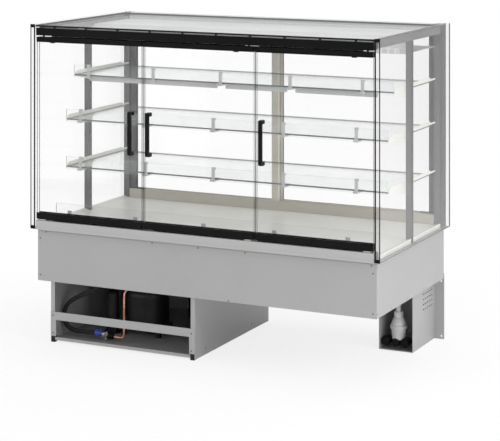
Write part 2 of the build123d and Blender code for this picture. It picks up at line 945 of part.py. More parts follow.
sliding_width = track_half + sliding_overlap / 2
sliding_z = (
    track_lower_top - groove_depth + sliding_lift,
    track_upper_bottom + groove_depth - sliding_top_gap,
)
for name, side, groove in (("left", -1, groove_starts[0]), ("right", 1, groove_starts[1])):
    door_x = sorted((side * track_half, side * (track_half - sliding_width)))
    door_middle = groove + groove_width / 2
    door_y = (door_middle - sliding_thickness / 2, door_middle + sliding_thickness / 2)
    pane_x = (door_x[0] + sliding_stile, door_x[1] - sliding_stile)
    pane_z = (sliding_z[0] + sliding_rail, sliding_z[1] - sliding_rail)
    pane_y = (door_middle - sliding_pane / 2, door_middle + sliding_pane / 2)

    with BuildPart() as sliding_frame:
        block(door_x, door_y, sliding_z)
        block(pane_x, door_y, pane_z, Mode.SUBTRACT)
        stile_x = side * (track_half - sliding_stile / 2)
        pull_z = sum(sliding_z) / 2
        with BuildSketch(Plane.XZ.offset(-door_y[1])) as pull:
            with Locations((stile_x, pull_z)):
                SlotOverall(pull_height, pull_width, rotation=90)
        extrude(amount=pull_depth, mode=Mode.SUBTRACT)
    finish(sliding_frame.part, f"rear_door_{name}_frame")

    with BuildPart() as sliding_glass:
        block(pane_x, pane_y, pane_z)
    finish(sliding_glass.part, f"rear_door_{name}_glass")

# Evaporator coil on the tub's floor, and the plate that carries its fans
coil_y = (front + coil_front, front + coil_front + coil_depth)
with BuildPart() as evaporator_coil:
    coil_z = (tub_floor + coil_foot, tub_floor + coil_foot + coil_height)
    block((-coil_length / 2, coil_length / 2), coil_y, coil_z)
    fins = int(coil_length / coil_fin_pitch) - 2
    for y in (coil_y[0], coil_y[1] - coil_fin_cut):
        with BuildSketch(Plane.XY.offset(coil_z[0] + coil_fin_margin)) as gaps:
            with Locations((0, y + coil_fin_cut / 2)):
                with GridLocations(coil_fin_pitch, 1, fins, 1):
                    Rectangle(coil_fin_gap, coil_fin_cut)
        extrude(amount=coil_height - 2 * coil_fin_margin, mode=Mode.SUBTRACT)
    for x in (coil_leg_inset - coil_length / 2, coil_length / 2 - coil_leg_inset - coil_leg):
        block((x, x + coil_leg), coil_y, (tub_floor, coil_z[0]))
finish(evaporator_coil.part, "evaporator_coil")

fan_plate_y = (front + fan_plate_setback, front + fan_plate_setback + fan_plate_sheet)
fan_xs = (-fan_spacing / 2, fan_spacing / 2)
fan_hub_y0 = fan_plate_y[1] + fan_setback
motor_y0 = fan_hub_y0 + fan_hub_length + fan_motor_gap
motor_y = (motor_y0, motor_y0 + fan_motor_length)
arm_y = (motor_y0, motor_y0 + fan_arm_sheet)
arm_reach = fan_hole_radius + fan_arm_lap
with BuildPart() as fan_plate:
    block((-opening_half, opening_half), fan_plate_y, (tub_floor, rim_height - seat))
    for x in fan_xs:
        rod(fan_hole_radius, (x, fan_plate_y[0], fan_height), (x, fan_plate_y[1], fan_height), Mode.SUBTRACT)
        rod(fan_motor_radius, (x, motor_y[0], fan_height), (x, motor_y[1], fan_height))
        arm_x = (x - fan_arm / 2, x + fan_arm / 2)
        for sign in (-1, 1):
            arm_z = sorted((fan_height + sign * fan_motor_radius / 2, fan_height + sign * arm_reach))
            block(arm_x, arm_y, arm_z)
            post_z = sorted((fan_height + sign * arm_reach, fan_height + sign * (arm_reach + fan_arm)))
            block(arm_x, (fan_plate_y[1], arm_y[1]), post_z)
finish(fan_plate.part, "fan_plate")


def fan_rotor(centre, radius, hub_radius, hub_length, shaft_end):
    """An axial fan on an axis along Y: a hub with pitched blades and a stub shaft."""
    x, y, z = centre
    rod(hub_radius, (x, y, z), (x, y + hub_length, z))
    rod(fan_shaft_radius, (x, y + hub_length, z), (x, shaft_end, z))
    for n in range(fan_blade_count):
        turn = 360 / fan_blade_count * n
        hub_middle = (x, y + hub_length / 2, z)
        root = Plane(origin=hub_middle, x_dir=(0, 1, 0), z_dir=(1, 0, 0)).rotated((0, turn, 0))
        with BuildSketch(root.offset(hub_radius - fan_blade_sink), mode=Mode.PRIVATE) as root_section:
            Rectangle(fan_blade_sheet, hub_radius * fan_root_chord, rotation=fan_blade_pitch)
        with BuildSketch(root.offset(radius), mode=Mode.PRIVATE) as tip_section:
            Rectangle(fan_blade_sheet, hub_radius * fan_tip_chord, rotation=fan_blade_pitch + fan_twist)
        loft([root_section.sketch, tip_section.sketch])


for name, x in zip(("left", "right"), fan_xs):
    with BuildPart() as evaporator_fan:
        hub_start = (x, fan_hub_y0, fan_height)
        fan_rotor(hub_start, fan_radius, fan_hub_radius, fan_hub_length, motor_y0 - seat)
    finish(evaporator_fan.part, f"evaporator_fan_{name}")

# Machine box: tray, posts, front frame and skins
with BuildPart() as unit_frame:
    block((unit_x0, unit_x1), (unit_y0, unit_y1), (unit_tray_lift, tray_top))
    tray_lip_z = (unit_tray_lift, unit_tray_lift + unit_tray_lip)
    block((unit_x0, unit_x1), (unit_y0, unit_y0 + unit_sheet), tray_lip_z)
    for x0 in (unit_x0, unit_x1 - unit_post):
        for y0 in (unit_y0, unit_y1 - unit_post):
            block((x0, x0 + unit_post), (y0, y0 + unit_post), (tray_top, tub_bottom))
            hollow_x = x0 + unit_sheet if x0 == unit_x0 else x0
            hollow_y = y0 + unit_sheet if y0 == unit_y0 else y0
            block(
                (hollow_x, hollow_x + unit_post - unit_sheet),
                (hollow_y, hollow_y + unit_post - unit_sheet),
                (tray_top, tub_bottom),
                Mode.SUBTRACT,
            )
    bar_y = (unit_y0 - unit_sheet, unit_y0)
    bar_top = unit_bar_bottom + unit_bar_height
    block((unit_x0 - unit_sheet, unit_x1 + unit_sheet), bar_y, (unit_bar_bottom, bar_top))
    for x0 in (unit_x0 - unit_sheet, unit_x1 + unit_sheet - unit_leg):
        block((x0, x0 + unit_leg), bar_y, (unit_foot_height, unit_bar_bottom))
    for x0 in (unit_x0, unit_x1 - unit_foot_size):
        foot_cut_y = (unit_y0, unit_y0 + unit_foot_size - unit_sheet)
        block((x0, x0 + unit_foot_size), foot_cut_y, (0, unit_foot_height), Mode.SUBTRACT)
finish(unit_frame.part, "unit_frame")

with BuildPart() as unit_panels:
    wall_z = (unit_tray_lift - unit_skirt, tub_bottom - seat)
    seam_y = unit_y1 - unit_back_section
    for x0 in (unit_x0 - unit_sheet, unit_x1):
        block((x0, x0 + unit_sheet), (unit_y0, seam_y - unit_seam), wall_z)
        block((x0, x0 + unit_sheet), (seam_y, unit_y1), wall_z)
    block((unit_x0 - unit_sheet, unit_x1 + unit_sheet), (unit_y1, unit_y1 + unit_sheet), wall_z)
    louvre_x = unit_x1 - condenser_right_gap - condenser_width / 2
    with BuildSketch(Plane.XZ.offset(-unit_y1 - unit_sheet)) as louvres:
        with Locations((louvre_x, (wall_z[0] + wall_z[1]) / 2)):
            with GridLocations(1, unit_louvre_pitch, 1, unit_louvre_count):
                Rectangle(unit_louvre_length, unit_louvre_height)
    extrude(amount=unit_sheet, mode=Mode.SUBTRACT)
finish(unit_panels.part, "unit_panels")

with BuildPart() as unit_feet:
    for x0 in (unit_x0, unit_x1 - unit_foot_size):
        foot_y = (unit_y0 - unit_sheet, unit_y0 - unit_sheet + unit_foot_size)
        block((x0, x0 + unit_foot_size), foot_y, (0, unit_foot_height))
        block((x0, x0 + unit_foot_size), (unit_y1 - unit_foot_size, unit_y1), (0, unit_tray_lift))
finish(unit_feet.part, "unit_feet")

# Compressor: an oval welded shell on a base plate with rubber feet
comp_x = unit_x0 + compressor_x
comp_y = unit_y0 + compressor_y
comp_z = tray_top + compressor_lift
with BuildPart() as compressor:
    with BuildSketch(Plane.XY.offset(comp_z)):
        with Locations((comp_x, comp_y)):
            SlotOverall(2 * compressor_radius_x, 2 * compressor_radius_y)
    extrude(amount=compressor_height)
    fillet(compressor.edges().group_by(Axis.Z)[-1], compressor_shoulder)
    base_z = comp_z - compressor_base
    with BuildSketch(Plane.XY.offset(base_z)):
        with Locations((comp_x, comp_y)):
            RectangleRounded(compressor_base_length, compressor_base_width, compressor_foot)
    extrude(amount=2 * compressor_base)
    foot_pitch_x = compressor_base_length - 2 * compressor_foot
    foot_pitch_y = compressor_base_width - 2 * compressor_foot
    with Locations((comp_x, comp_y, tray_top)):
        with GridLocations(foot_pitch_x, foot_pitch_y, 2, 2):
            Cylinder(compressor_foot, base_z - tray_top, align=(Align.CENTER, Align.CENTER, Align.MIN))
    shell_left = comp_x - compressor_radius_x
    terminal_y0 = comp_y + terminal_setback
    terminal_z0 = comp_z + terminal_lift
    block(
        (shell_left - terminal_reach, shell_left + terminal_lap),
        (terminal_y0, terminal_y0 + terminal_length),
        (terminal_z0, terminal_z0 + terminal_height),
    )
finish(compressor.part, "compressor")

recv_x = unit_x0 + receiver_x
recv_y = unit_y0 + receiver_y
receiver_top = tray_top + receiver_height
with BuildPart() as receiver:
    with BuildSketch(Plane.XZ):
        with BuildLine():
            Polyline(
                (0, tray_top),
                (receiver_radius + receiver_base, tray_top),
                (receiver_radius + receiver_base, tray_top + receiver_base),
                (receiver_radius, tray_top + receiver_base),
                (receiver_radius, receiver_top - receiver_dome),
                (receiver_radius - receiver_shoulder, receiver_top - receiver_crown),
                (receiver_neck, receiver_top),
                (receiver_neck, receiver_top + receiver_dome),
                (0, receiver_top + receiver_dome),
                close=True,
            )
        make_face()
    revolve(axis=Axis.Z)
receiver.part.locate(Location((recv_x, recv_y, 0)))
finish(receiver.part, "receiver")

# Condenser at the back of the machine box, with its shroud and fan in front of it
cond_x1 = unit_x1 - condenser_right_gap
cond_x0 = cond_x1 - condenser_width
cond_y1 = unit_y1 - condenser_back_gap
cond_y0 = cond_y1 - condenser_thickness
cond_mid_x = (cond_x0 + cond_x1) / 2
cond_mid_z = tray_top + condenser_height / 2
with BuildPart() as condenser_coil:
    block((cond_x0, cond_x1), (cond_y0, cond_y1), (tray_top, tray_top + condenser_height))
    cond_fins = int(condenser_width / condenser_fin_pitch) - 2
    with BuildSketch(Plane.XY.offset(tray_top + condenser_fin_margin)):
        with Locations((cond_mid_x, cond_y1 - condenser_fin_cut / 2)):
            with GridLocations(condenser_fin_pitch, 1, cond_fins, 1):
                Rectangle(condenser_fin_gap, condenser_fin_cut)
    extrude(amount=condenser_height - 2 * condenser_fin_margin, mode=Mode.SUBTRACT)
finish(condenser_coil.part, "condenser_coil")

shroud_y0 = cond_y0 - shroud_depth
shroud_z1 = tray_top + condenser_height
fan_y0 = shroud_y0 - condenser_fan_reach
ring_start = (cond_mid_x, shroud_y0 - shroud_ring_reach, cond_mid_z)
ring_end = (cond_mid_x, shroud_y0 + shroud_sheet, cond_mid_z)
cond_motor_y0 = fan_y0 + condenser_hub_length + condenser_motor_gap
with BuildPart() as fan_shroud:
    block((cond_x0, cond_x1), (shroud_y0, cond_y0), (tray_top, shroud_z1))
    block(
        (cond_x0 + shroud_sheet, cond_x1 - shroud_sheet),
        (shroud_y0 + shroud_sheet, cond_y0),
        (tray_top + shroud_sheet, shroud_z1 - shroud_sheet),
        Mode.SUBTRACT,
    )
    rod(shroud_hole_radius + shroud_ring, ring_start, ring_end)
    rod(shroud_hole_radius, ring_start, ring_end, Mode.SUBTRACT)
    rod(condenser_hub_radius, (cond_mid_x, cond_motor_y0, cond_mid_z), (cond_mid_x, cond_y0, cond_mid_z))
    block(
        (cond_x0 + shroud_sheet, cond_x1 - shroud_sheet),
        (cond_y0 - shroud_arm, cond_y0),
        (cond_mid_z - shroud_arm, cond_mid_z + shroud_arm),
    )
finish(fan_shroud.part, "fan_shroud")

with BuildPart() as condenser_fan:
    fan_rotor(
        (cond_mid_x, fan_y0, cond_mid_z),
        condenser_fan_radius,
        condenser_hub_radius,
        condenser_hub_length,
        cond_motor_y0 - seat,
    )
finish(condenser_fan.part, "condenser_fan")

# Suction hose, which is clamped between the tub and the service valve
valve_x = unit_x0 + valve_inset_x
valve_y = unit_y0 + valve_inset_y
valve_start = valve_x - valve_inlet_length
valve_end = valve_x + valve_outlet_length


def swept_tube(points, bend, radius):
    """A round tube along straight runs that are joined by bends."""
    with BuildLine() as path:
        FilletPolyline(*points, radius=bend)
    wire = path.wire()
    with BuildSketch(Plane(origin=wire @ 0, z_dir=wire % 0)) as circle:
        Circle(radius)
    sweep(sections=circle.sketch, path=wire)


def unit_places(bends):
    """Places in the machine box, moved to the case's own axes."""
    return [(unit_x0 + x, unit_y0 + y, z) for x, y, z in bends]


hose_start = (unit_x0 + hose_inset_x, unit_y0 + hose_inset_y, tub_bottom - seat)
with BuildPart() as suction_hose:
    swept_tube([hose_start, *unit_places(hose_bends), (valve_start, valve_y, valve_z)], hose_bend, hose_radius)
finish(suction_hose.part, "suction_hose")

with BuildPart() as service_valve:
    body_start = valve_x - valve_body_back
    body_end = valve_x + valve_body_front
    rod(valve_inlet_radius, (valve_start + seat, valve_y, valve_z), (body_start, valve_y, valve_z))
    rod(valve_body_radius, (body_start, valve_y, valve_z), (body_end, valve_y, valve_z))
    rod(valve_outlet_radius, (body_end, valve_y, valve_z), (valve_end, valve_y, valve_z))
    rod(valve_stalk_radius, (valve_x, valve_y, tray_top), (valve_x, valve_y, valve_z))
finish(service_valve.part, "service_valve")

with BuildPart() as copper_pipe:
    swept_tube(
        [(valve_end + seat, valve_y, valve_z), *unit_places(pipe_bends), *unit_places([pipe_end])],
        pipe_bend,
        pipe_radius,
    )
finish(copper_pipe.part, "copper_pipe")

# Control box: open at the front, with vents and a back plate that laps the tub and stands out as a flange
with BuildPart() as control_box:
    block((control_x0, control_x1), (control_y0, control_y1), (0, tub_bottom))
    block(
        (control_x0 + control_sheet, control_x1 - control_sheet),
        (control_y0, control_y1 - control_sheet),
        (control_sheet, tub_bottom),
        Mode.SUBTRACT,
    )
    vent_y = control_y1 - vent_margin_y - (vent_columns - 1) / 2 * vent_pitch_y
    vent_z = tub_bottom - vent_margin_z - (vent_rows - 1) / 2 * vent_pitch_z
    with BuildSketch(Plane.YZ.offset(control_x1 - control_sheet)):
        with Locations((vent_y, vent_z)):
            with GridLocations(vent_pitch_y, vent_pitch_z, vent_columns, vent_rows):
                Rectangle(vent_length, vent_height)
    extrude(amount=control_sheet, mode=Mode.SUBTRACT)
    flange_y = (control_y1, control_y1 + control_sheet)
    block((control_x0, control_x1 + control_flange), flange_y, (0, tub_bottom + control_flange_rise))
    flange_hole_x = control_x1 + control_flange - bolt_inset
    for z in (bolt_inset, tub_bottom - bolt_inset):
        rod(bolt_radius, (flange_hole_x, flange_y[0], z), (flange_hole_x, flange_y[1], z), Mode.SUBTRACT)
finish(control_box.part, "control_box")

# Bottle trap that hangs from the tub's drain
with BuildPart() as bottle_trap:
    trap_top = tub_bottom - seat
    with BuildSketch(Plane.XZ):
        with BuildLine():
            trap_points = [(radius, trap_top - drop) for radius, drop in trap_outline]
            Polyline((0, trap_points[0][1]), *trap_points, (0, trap_points[-1][1]), close=True)
        make_face()
    revolve(axis=Axis.Z)
bottle_trap.part.locate(Location((drain_x, drain_y, 0)))
finish(bottle_trap.part, "bottle_trap")

with BuildPart() as cable_glands:
    for n in range(gland_count):
        gland_x = control_x0 + gland_inset_x + n * gland_pitch
        gland_y = control_y0 + gland_inset_y - n * gland_step_y
        with BuildSketch(Plane.XY.offset(control_sheet)):
            with Locations((gland_x, gland_y)):
                RegularPolygon(gland_radius, 6)
        extrude(amount=gland_nut_height)
        gland_top = control_sheet + gland_height
        rod(gland_stem_radius, (gland_x, gland_y, control_sheet), (gland_x, gland_y, gland_top))
finish(cable_glands.part, "cable_glands")
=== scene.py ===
import bpy
import json
import math
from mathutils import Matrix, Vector


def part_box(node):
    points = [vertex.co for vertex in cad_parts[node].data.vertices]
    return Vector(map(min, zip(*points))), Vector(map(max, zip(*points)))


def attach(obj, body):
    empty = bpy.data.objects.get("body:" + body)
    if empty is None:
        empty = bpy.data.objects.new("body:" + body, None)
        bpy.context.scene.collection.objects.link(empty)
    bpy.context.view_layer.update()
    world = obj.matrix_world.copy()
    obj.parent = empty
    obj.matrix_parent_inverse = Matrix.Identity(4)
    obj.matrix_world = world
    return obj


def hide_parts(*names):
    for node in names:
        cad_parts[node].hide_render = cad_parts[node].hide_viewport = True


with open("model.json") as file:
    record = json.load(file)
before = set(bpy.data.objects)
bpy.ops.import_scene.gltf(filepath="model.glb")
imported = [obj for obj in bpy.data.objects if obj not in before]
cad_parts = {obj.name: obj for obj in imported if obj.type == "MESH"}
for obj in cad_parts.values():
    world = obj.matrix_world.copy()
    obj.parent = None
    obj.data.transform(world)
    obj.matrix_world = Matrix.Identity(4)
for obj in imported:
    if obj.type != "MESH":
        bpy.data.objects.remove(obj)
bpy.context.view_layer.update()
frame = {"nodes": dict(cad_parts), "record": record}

# Looks and small fittings for a refrigerated glass merchandiser, in metres.
# The CAD pieces keep their shape and get finishes. Seven of them are hidden behind pieces modelled here,
# and seals, edge bands, a hose clip, a nut and screws are added.

# Places taken from the CAD pieces. What was measured in the photograph has its own numbers further down.
sill_lo, sill_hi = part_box("front_sill")
rim_lo, rim_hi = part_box("top_rim")
tub_lo, tub_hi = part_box("tub_shell")
header_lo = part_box("front_header")[0]
unit_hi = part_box("unit_panels")[1]
unit_frame_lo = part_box("unit_frame")[0]
glass_left_lo, glass_left_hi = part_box("side_glass_left")
glass_right_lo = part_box("side_glass_right")[0]
front = glass_left_lo.y


class Value:
    """A shader socket that can be added, multiplied and compared like a number."""

    def __init__(self, tree, socket):
        self.tree = tree
        self.socket = socket

    def _math(self, operation, *others, swap=False, clamp=False):
        node = self.tree.nodes.new("ShaderNodeMath")
        node.operation = operation
        node.use_clamp = clamp
        values = [self, *others]
        if swap:
            values.reverse()
        for slot, value in zip(node.inputs, values):
            if isinstance(value, Value):
                self.tree.links.new(value.socket, slot)
            else:
                slot.default_value = value
        return Value(self.tree, node.outputs[0])

    def __add__(self, other):
        return self._math("ADD", other)

    def __radd__(self, other):
        return self._math("ADD", other, swap=True)

    def __sub__(self, other):
        return self._math("SUBTRACT", other)

    def __rsub__(self, other):
        return self._math("SUBTRACT", other, swap=True)

    def __mul__(self, other):
        return self._math("MULTIPLY", other)

    def __rmul__(self, other):
        return self._math("MULTIPLY", other, swap=True)

    def __truediv__(self, other):
        return self._math("DIVIDE", other)

    def __gt__(self, other):
        return self._math("GREATER_THAN", other)

    def __lt__(self, other):
        return self._math("LESS_THAN", other)

    def __abs__(self):
        return self._math("ABSOLUTE")

    def power(self, other):
        return self._math("POWER", other)

    def sine(self):
        return self._math("SINE")

    def ramp(self, low, high):
        """0 at low and under, 1 at high and over, with a soft step between."""
        node = self.tree.nodes.new("ShaderNodeMapRange")
        node.interpolation_type = "SMOOTHSTEP"
        self.tree.links.new(self.socket, node.inputs["Value"])
        node.inputs["From Min"].default_value = low
        node.inputs["From Max"].default_value = high
        return Value(self.tree, node.outputs["Result"])


class Shader:
    """One material's node tree, with short ways to add nodes to it."""

    def __init__(self, name):
        self.material = bpy.data.materials.new(name)
        self.material.use_nodes = True
        self.tree = self.material.node_tree
        self.tree.nodes.clear()
        self.output = self.tree.nodes.new("ShaderNodeOutputMaterial")
        self.coords = self.tree.nodes.new("ShaderNodeTexCoord")

    def make(self, kind, settings=None, **values):
        """Adds a node: its settings first, then its inputs, each a number, a colour or a socket."""
        node = self.tree.nodes.new(kind)
        for key, value in (settings or {}).items():
            setattr(node, key, value)
        for key, value in values.items():
            slot = node.inputs[key.replace("_", " ")]
            if isinstance(value, Value):
                self.tree.links.new(value.socket, slot)
            elif isinstance(value, bpy.types.NodeSocket):
                self.tree.links.new(value, slot)
            else:
                slot.default_value = value
        return node

    def value(self, socket):
        return Value(self.tree, socket)

    def place(self, stretch=(1, 1, 1)):
        """Object coordinates, stretched for grain."""
        node = self.make("ShaderNodeMapping", Scale=stretch)
        self.tree.links.new(self.coords.outputs["Object"], node.inputs["Vector"])
        return node.outputs["Vector"]

    def axis(self, letter):
        split = self.make("ShaderNodeSeparateXYZ")
        self.tree.links.new(self.coords.outputs["Object"], split.inputs[0])
        return self.value(split.outputs[letter])

    def normal(self, letter):
        split = self.make("ShaderNodeSeparateXYZ")
        self.tree.links.new(self.coords.outputs["Normal"], split.inputs[0])
        return self.value(split.outputs[letter])

    def noise(self, scale, stretch=(1, 1, 1), detail=3.0, roughness=0.55):
        node = self.make("ShaderNodeTexNoise", Scale=scale, Detail=detail, Roughness=roughness)
        self.tree.links.new(self.place(stretch), node.inputs["Vector"])
        return self.value(node.outputs["Fac"])

    def cells(self, scale):
        node = self.make("ShaderNodeTexVoronoi", Scale=scale)
        self.tree.links.new(self.place(), node.inputs["Vector"])
        return self.value(node.outputs["Color"])

    def blend(self, factor, first, second):
        """A colour between two colours."""
        node = self.make("ShaderNodeMix", {"data_type": "RGBA"})
        if isinstance(factor, Value):
            self.tree.links.new(factor.socket, node.inputs[0])
        else:
            node.inputs[0].default_value = factor
        for slot, colour in ((node.inputs[6], first), (node.inputs[7], second)):
            if isinstance(colour, Value):
                self.tree.links.new(colour.socket, slot)
            else:
                slot.default_value = (*colour, 1)
        return self.value(node.outputs[2])

    def bump(self, height, distance, strength=1.0):
        node = self.make("ShaderNodeBump", Strength=strength, Distance=distance, Height=height)
        return node.outputs["Normal"]

    def layered(self, factor, under, over):
        """One shader node mixed over another."""
        mix = self.make("ShaderNodeMixShader")
        self.tree.links.new(factor.socket, mix.inputs[0])
        self.tree.links.new(under.outputs[0], mix.inputs[1])
        self.tree.links.new(over.outputs[0], mix.inputs[2])
        return mix

    def surface(self, **values):
        """The principled surface, wired to the output."""
        node = self.make("ShaderNodeBsdfPrincipled", **values)
        self.tree.links.new(node.outputs[0], self.output.inputs["Surface"])
        return node


def grained_steel(name, light, dark, stretch, roughness=0.45, metallic=0.3, specular=0.5):
    """Satin stainless sheet: fine grain in one direction, faint cloudiness and slightly uneven gloss."""
    s = Shader(name)
    grain = s.noise(420, stretch, detail=4)
    cloud = s.noise(2.4)
    tone = grain * 0.25 + cloud * 0.75
    s.surface(
        Base_Color=s.blend(tone.ramp(0.3, 0.7), dark, light),
        Roughness=roughness + (grain - 0.5) * 0.12 + (cloud - 0.5) * 0.08,
        Metallic=metallic,
        Specular_IOR_Level=specular,
        Normal=s.bump(grain, 0.00001),
    )
    return s.material


def coated_metal(name, colour, shade, roughness=0.42, orange_peel=0.00003, specular=0.5):
    """Powder coat: a fine orange peel and a faint change of tone."""
    s = Shader(name)
    peel = s.noise(900, detail=2)
    cloud = s.noise(6)
    s.surface(
        Base_Color=s.blend(cloud.ramp(0.3, 0.7), shade, colour),
        Roughness=roughness + (peel - 0.5) * 0.12,
        Specular_IOR_Level=specular,
        Normal=s.bump(peel, orange_peel),
    )
    return s.material


def moulded_plastic(name, colour, shade, roughness=0.45, specks=0.0, specular=0.5):
    """Moulded plastic with a fine spark texture."""
    s = Shader(name)
    spark = s.noise(1400, detail=2)
    cloud = s.noise(14)
    tone = cloud.ramp(0.3, 0.7) * (1 - specks) + spark.ramp(0.45, 0.6) * specks
    s.surface(
        Base_Color=s.blend(tone, shade, colour),
        Roughness=roughness + (spark - 0.5) * 0.15,
        Specular_IOR_Level=specular,
        Normal=s.bump(spark, 0.00002),
    )
    return s.material


def two_tone(name, first, second, share, roughness=0.42):
    """Coated metal in two colours; share names the part of the piece that takes the second colour."""
    s = Shader(name)
    peel = s.noise(900, detail=2)
    cloud = s.noise(6).ramp(0.3, 0.7) * 0.12
    s.surface(
        Base_Color=s.blend(cloud, s.blend(share(s), first, second), (0.3, 0.3, 0.3)),
        Roughness=roughness + (peel - 0.5) * 0.12,
        Normal=s.bump(peel, 0.00003),
    )
    return s.material


def clear_sheet(
    name, tint, edge_colour, thin_axis, edge_strength=1.0, haze=0.004, reflect=0.5, gap=None, pale_top=False
):
    """A clear pane: see-through across its thin axis, darker on its cut edges, with a skin of reflection.

    gap is the depth range of a cavity whose clear spacers have no dark cut edge."""
    s = Shader(name)
    edge = 1 - abs(s.normal(thin_axis)).ramp(0.55, 0.8)
    if gap:
        depth = s.axis(thin_axis)
        edge = edge * (1 - (depth > gap[0]) * (depth < gap[1]))
    smear = s.noise(7, detail=5)
    grazing = s.value(s.make("ShaderNodeLayerWeight", Blend=0.5).outputs["Facing"])
    skin = (0.006 + grazing.power(5.0) * reflect) * (1 - edge)
    body = edge * edge_strength + haze * (1 - edge) * smear.ramp(0.2, 0.8)
    rim_colour = edge_colour
    if pale_top:
        rim_colour = s.blend(abs(s.normal("Z")).ramp(0.5, 0.8), edge_colour, (0.62, 0.63, 0.63))
    clear = s.make("ShaderNodeBsdfTransparent", Color=(*tint, 1))
    mirror = s.make(
        "ShaderNodeBsdfPrincipled",
        Metallic=1.0,
        Roughness=0.02 + smear * 0.02,
        Base_Color=(1, 1, 1, 1),
    )
    solid = s.make(
        "ShaderNodeBsdfPrincipled",
        Base_Color=s.blend(edge, (0.92, 0.95, 0.95), rim_colour),
        Roughness=0.2 + smear * 0.05 + edge * 0.15,
        Specular_IOR_Level=0.15,
    )
    pane = s.layered(skin, clear, mirror)
    s.tree.links.new(s.layered(body, pane, solid).outputs[0], s.output.inputs["Surface"])
    return s.material


def spangled_zinc(name):
    """Galvanised sheet with its crystal pattern."""
    s = Shader(name)
    crystal = s.cells(75)
    fine = s.noise(60)
    tone = crystal * 0.35 + fine * 0.65
    s.surface(
        Base_Color=s.blend(tone.ramp(0.2, 0.8), (0.43, 0.43, 0.43), (0.58, 0.58, 0.58)),
        Roughness=0.4 + crystal * 0.14,
        Metallic=0.75,
        Normal=s.bump(fine, 0.00003),
    )
    return s.material


def tarnished_copper(name):
    s = Shader(name)
    stain = s.noise(38, detail=5)
    s.surface(
        Base_Color=s.blend(stain.ramp(0.35, 0.68), (0.40, 0.17, 0.10), (0.83, 0.46, 0.31)),
        Roughness=0.28 + stain * 0.25,
        Metallic=0.95,
        Normal=s.bump(stain, 0.00003),
    )
    return s.material


def ribbed_rubber(name):
    """Foam pipe lagging: matt black with a fine open skin."""
    s = Shader(name)
    pores = s.noise(520, detail=5)
    wrinkle = s.noise(60)
    s.surface(
        Base_Color=s.blend(pores.ramp(0.4, 0.7), (0.006, 0.006, 0.006), (0.022, 0.022, 0.022)),
        Roughness=0.72 + wrinkle * 0.2,
        Normal=s.bump(pores + wrinkle, 0.00015),
    )
    return s.material


def fin_stack(name):
    """Aluminium fins: close lines along X on top of the cut gaps; the dark between the lines is painted shade
    in the gaps between the fins.
    """
    s = Shader(name)
    lines = (s.axis("X") * 2600).sine()
    dust = s.noise(30, detail=5)
    s.surface(
        # The dark colour in the troughs of the lines is painted shade between the fins; the light colour is
        # the aluminium.
        Base_Color=s.blend(lines.ramp(-0.6, 0.6), (0.12, 0.12, 0.12), (0.56, 0.57, 0.58)),
        Roughness=0.42 + dust * 0.2,
        Metallic=0.85,
        Normal=s.bump(lines, 0.0003),
    )
    return s.material


def lamp_lens(name, colour, strength):
    """A frosted lamp cover with faint bright spots along X where its light sources sit."""
    s = Shader(name)
    spots = (s.axis("X") * (2 * math.pi / 0.03)).sine().ramp(0.2, 0.95)
    s.surface(
        Base_Color=s.blend(spots, (0.60, 0.60, 0.60), (0.72, 0.72, 0.71)),
        Roughness=0.35 + s.noise(200) * 0.1,
        Emission_Color=s.blend(spots, tuple(0.6 * c for c in colour), colour),
        Emission_Strength=strength,
    )
    return s.material


# The rear doors' outer stiles carry a dark coat, and the stiles that meet in the middle a cream one
rear_stile_x = 0.63


def rear_frame_split(s):
    return abs(s.axis("X")) > rear_stile_x


def upper_track(s):
    return s.axis("Z") > track_middle


